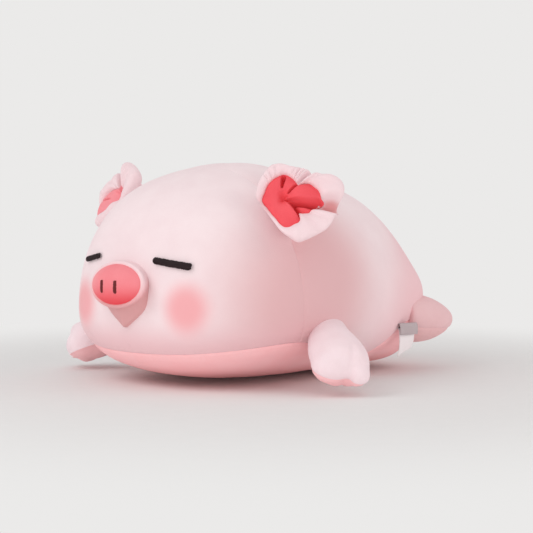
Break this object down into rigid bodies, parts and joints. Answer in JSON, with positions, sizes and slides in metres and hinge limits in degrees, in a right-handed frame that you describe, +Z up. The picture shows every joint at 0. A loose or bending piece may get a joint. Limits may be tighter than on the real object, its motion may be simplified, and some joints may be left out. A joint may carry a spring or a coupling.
{
  "type": "plush pig",
  "caption": "Soft stuffed pig that lies on its belly, with a domed snout, closed stitched eyes, gathered ears and short cloven paws.",
  "frame": {"origin": "the middle of the flat patch of the belly that the toy rests on, on the floor and on the middle plane", "axes": "the pig faces -Y, +Z is up, and +X is the pig's own left side"},
  "size_m": [0.3798, 0.4017, 0.2059],
  "materials": {
    "plush_face": "short-pile velvet plush, off-white pink",
    "plush_back": "short-pile velvet plush, pale pink",
    "plush_belly": "short-pile velvet plush, warm pink",
    "plush_limb": "short-pile velvet plush, near white",
    "plush_sole": "short-pile velvet plush, warm pink",
    "lining_coral": "short-pile velvet plush, coral red",
    "snout_coral": "short-pile velvet plush, coral pink",
    "thread_dark": "satin stitch in dark brown rayon thread",
    "thread_maroon": "satin stitch in maroon rayon thread",
    "filling": "polyester fibre filling",
    "label_white": "bare satin label",
    "label_grey": "bare folded woven tab"
  },
  "bodies": {
    "torso": {"body_stuffing": "filling", "face_panel": "plush_face", "back_panel_left": "plush_back", "back_panel_right": "plush_back", "belly_panel": "plush_belly", "eye_left": "thread_dark", "eye_right": "thread_dark", "snout_sleeve": "plush_face", "snout_disc": "snout_coral", "snout_stuffing": "filling", "nostril_left": "thread_maroon", "nostril_right": "thread_maroon"},
    "ear_left": {"ear_outer_left": "plush_limb", "ear_lining_left": "lining_coral"},
    "ear_right": {"ear_outer_right": "plush_limb", "ear_lining_right": "lining_coral"},
    "front_paw_left": {"paw_left_top": "plush_limb", "paw_left_sole": "plush_sole", "paw_left_stuffing": "filling"},
    "front_paw_right": {"paw_right_top": "plush_limb", "paw_right_sole": "plush_sole", "paw_right_stuffing": "filling"},
    "rear_foot_left": {"foot_left_top": "plush_back", "foot_left_sole": "plush_sole", "foot_left_stuffing": "filling"},
    "rear_foot_right": {"foot_right_top": "plush_back", "foot_right_sole": "plush_sole", "foot_right_stuffing": "filling"},
    "tail": {"tail": "plush_back"},
    "labels": {"care_label": "label_white", "sewn_tab": "label_grey"}
  },
  "joints": [
    {"name": "ear_left_flop", "type": "hinge", "parent": "torso", "child": "ear_left", "pos_m": [0.09838, -0.10668, 0.15574], "axis": [0.6104, -0.0716, -0.7888], "range_deg": [0, 25], "stiffness_Nm_per_rad": 0.02},
    {"name": "ear_right_flop", "type": "hinge", "parent": "torso", "child": "ear_right", "pos_m": [-0.08921, -0.1224, 0.15988], "axis": [0.6672, 0.065, 0.742], "range_deg": [0, 25], "stiffness_Nm_per_rad": 0.02},
    {"name": "front_paw_left_lift", "type": "hinge", "parent": "torso", "child": "front_paw_left", "pos_m": [0.13133, -0.057, 0.0615], "axis": [0.0063, -1, 0], "range_deg": [0, 25], "stiffness_Nm_per_rad": 0.15},
    {"name": "front_paw_right_lift", "type": "hinge", "parent": "torso", "child": "front_paw_right", "pos_m": [-0.13133, -0.057, 0.0615], "axis": [0.0063, 1, 0], "range_deg": [0, 25], "stiffness_Nm_per_rad": 0.15},
    {"name": "rear_foot_left_lift", "type": "hinge", "parent": "torso", "child": "rear_foot_left", "pos_m": [0.08717, 0.128, 0.074], "axis": [0.5338, -0.8456, 0], "range_deg": [0, 20], "stiffness_Nm_per_rad": 0.15},
    {"name": "rear_foot_right_lift", "type": "hinge", "parent": "torso", "child": "rear_foot_right", "pos_m": [-0.08717, 0.128, 0.074], "axis": [0.5338, 0.8456, 0], "range_deg": [0, 20], "stiffness_Nm_per_rad": 0.15},
    {"name": "tail_wag", "type": "hinge", "parent": "torso", "child": "tail", "pos_m": [0, 0.168, 0.084], "axis": [0, 0, 1], "range_deg": [-15, 15], "stiffness_Nm_per_rad": 0.004},
    {"name": "label_lift", "type": "hinge", "parent": "torso", "child": "labels", "pos_m": [0.10892, 0.07332, 0.04764], "axis": [0.2434, -0.9626, -0.1188], "range_deg": [0, 60], "stiffness_Nm_per_rad": 0.0006}
  ]
}
